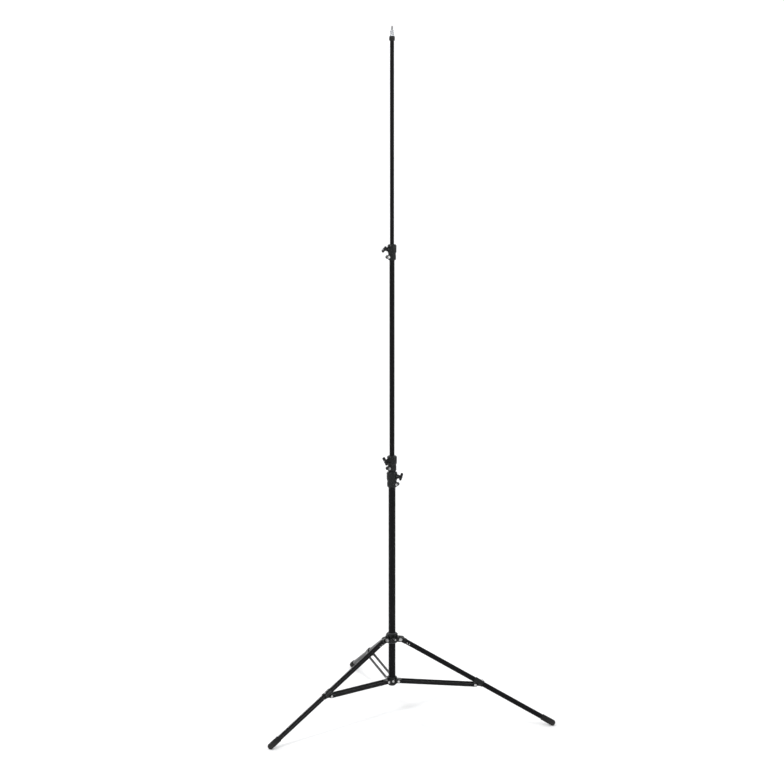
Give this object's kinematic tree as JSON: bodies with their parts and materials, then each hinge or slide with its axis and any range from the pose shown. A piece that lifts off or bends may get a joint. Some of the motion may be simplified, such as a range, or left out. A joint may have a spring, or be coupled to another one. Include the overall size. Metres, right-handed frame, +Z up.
{
  "type": "light stand",
  "caption": "Tall folding tripod stand with a telescopic column of black tubes, clamp collars with T-knobs and a steel spigot on top.",
  "frame": {"origin": "on the floor, on the column's axis, midway between the feet", "axes": "+Z up the column towards the spigot; -Y towards the side from which the hub's knob is seen, with leg 1 at 225 degrees, leg 2 at 345 and leg 3 at 105 from +X towards +Y"},
  "size_m": [1.1115, 1.1115, 2.705],
  "materials": {
    "tube_black": "black anodised aluminium tube, semi-gloss",
    "moulding_black": "semi-gloss black moulding with a fine grain",
    "knob_black": "fine-textured black moulding",
    "strip_black": "black coated steel strip",
    "liner_grey": "dark grey nylon",
    "rubber_black": "matt black rubber",
    "steel": "zinc-plated steel",
    "spigot_steel": "bright plated steel"
  },
  "bodies": {
    "base": {"base_tube": "tube_black", "column_plug": "rubber_black", "collar_1": "moulding_black", "clamp_bolt_1": "steel", "collar_liner_1": "liner_grey", "brake_shoe_1": "liner_grey", "brace_spider": "moulding_black", "spider_screws": "steel", "spider_pins": "steel"},
    "riser_1": {"riser_tube_1": "tube_black", "riser_bush_1": "liner_grey", "collar_2": "moulding_black", "clamp_bolt_2": "steel", "collar_liner_2": "liner_grey", "brake_shoe_2": "liner_grey"},
    "riser_2": {"riser_tube_2": "tube_black", "riser_bush_2": "liner_grey", "collar_3": "moulding_black", "clamp_bolt_3": "steel", "collar_liner_3": "liner_grey", "brake_shoe_3": "liner_grey"},
    "riser_3": {"riser_tube_3": "tube_black", "riser_bush_3": "liner_grey", "top_cap": "moulding_black", "top_spigot": "spigot_steel", "spigot_stud": "steel"},
    "hub": {"leg_hub": "moulding_black", "hub_liner": "liner_grey", "leg_pivot_bolts": "steel"},
    "lock_1": {"lock_knob_1": "knob_black", "lock_screw_1": "steel"},
    "lock_2": {"lock_knob_2": "knob_black", "lock_screw_2": "steel"},
    "lock_3": {"lock_knob_3": "knob_black", "lock_screw_3": "steel"},
    "hub_lock": {"hub_knob": "knob_black", "hub_screw": "steel"},
    "leg_1": {"leg_end_1": "moulding_black", "leg_tube_1": "tube_black", "foot_cap_1": "rubber_black", "leg_bracket_1": "moulding_black", "bracket_fixings_1": "steel"},
    "brace_1": {"brace_1": "strip_black", "brace_rivets_1": "steel"},
    "leg_2": {"leg_end_2": "moulding_black", "leg_tube_2": "tube_black", "foot_cap_2": "rubber_black", "leg_bracket_2": "moulding_black", "bracket_fixings_2": "steel"},
    "brace_2": {"brace_2": "strip_black", "brace_rivets_2": "steel"},
    "leg_3": {"leg_end_3": "moulding_black", "leg_tube_3": "tube_black", "foot_cap_3": "rubber_black", "leg_bracket_3": "moulding_black", "bracket_fixings_3": "steel"},
    "brace_3": {"brace_3": "strip_black", "brace_rivets_3": "steel"}
  },
  "joints": [
    {"name": "riser_1_slide", "type": "slide", "parent": "base", "child": "riser_1", "axis": [0, 0, 1], "range_m": [0, 0.73]},
    {"name": "riser_2_slide", "type": "slide", "parent": "riser_1", "child": "riser_2", "axis": [0, 0, 1], "range_m": [-0.7675, 0]},
    {"name": "riser_3_slide", "type": "slide", "parent": "riser_2", "child": "riser_3", "axis": [0, 0, 1], "range_m": [-0.7745, 0]},
    {"name": "leg_fold", "type": "slide", "parent": "base", "child": "hub", "axis": [0, 0, 1], "range_m": [0, 0.4866]},
    {"name": "leg_1_hinge", "type": "hinge", "parent": "hub", "child": "leg_1", "pos_m": [-0.02687, -0.02687, 0.305], "axis": [0.7071, -0.7071, 0], "range_deg": [0, 61.87]},
    {"name": "brace_1_hinge", "type": "hinge", "parent": "base", "child": "brace_1", "pos_m": [-0.02263, -0.02263, 0.133], "axis": [-0.7071, 0.7071, 0], "range_deg": [0, 86.92]},
    {"name": "leg_2_hinge", "type": "hinge", "parent": "hub", "child": "leg_2", "pos_m": [0.03671, -0.00983, 0.305], "axis": [0.2588, 0.9659, 0], "range_deg": [0, 61.87]},
    {"name": "brace_2_hinge", "type": "hinge", "parent": "base", "child": "brace_2", "pos_m": [0.03091, -0.00828, 0.133], "axis": [-0.2588, -0.9659, 0], "range_deg": [0, 86.92]},
    {"name": "leg_3_hinge", "type": "hinge", "parent": "hub", "child": "leg_3", "pos_m": [-0.00983, 0.03671, 0.305], "axis": [-0.9659, -0.2588, 0], "range_deg": [0, 61.87]},
    {"name": "brace_3_hinge", "type": "hinge", "parent": "base", "child": "brace_3", "pos_m": [-0.00828, 0.03091, 0.133], "axis": [0.9659, 0.2588, 0], "range_deg": [0, 86.92]},
    {"name": "lock_1_turn", "type": "hinge", "parent": "base", "child": "lock_1", "pos_m": [0, 0, 0.961], "axis": [0.9511, -0.309, 0], "range_deg": [0, 270]},
    {"name": "lock_2_turn", "type": "hinge", "parent": "riser_1", "child": "lock_2", "pos_m": [0, 0, 1.025], "axis": [-0.7431, -0.6691, 0], "range_deg": [0, 270]},
    {"name": "lock_3_turn", "type": "hinge", "parent": "riser_2", "child": "lock_3", "pos_m": [0, 0, 1.855], "axis": [-0.891, -0.454, 0], "range_deg": [0, 270]},
    {"name": "hub_lock_turn", "type": "hinge", "parent": "hub", "child": "hub_lock", "pos_m": [0, 0, 0.311], "axis": [0.2588, -0.9659, 0], "range_deg": [0, 270]}
  ],
  "couplings": [
    {"joint": "leg_1_hinge", "follows": "leg_fold", "rad_per_m": 2.2192},
    {"joint": "brace_1_hinge", "follows": "leg_fold", "rad_per_m": 3.1178},
    {"joint": "leg_2_hinge", "follows": "leg_fold", "rad_per_m": 2.2192},
    {"joint": "brace_2_hinge", "follows": "leg_fold", "rad_per_m": 3.1178},
    {"joint": "leg_3_hinge", "follows": "leg_fold", "rad_per_m": 2.2192},
    {"joint": "brace_3_hinge", "follows": "leg_fold", "rad_per_m": 3.1178}
  ]
}
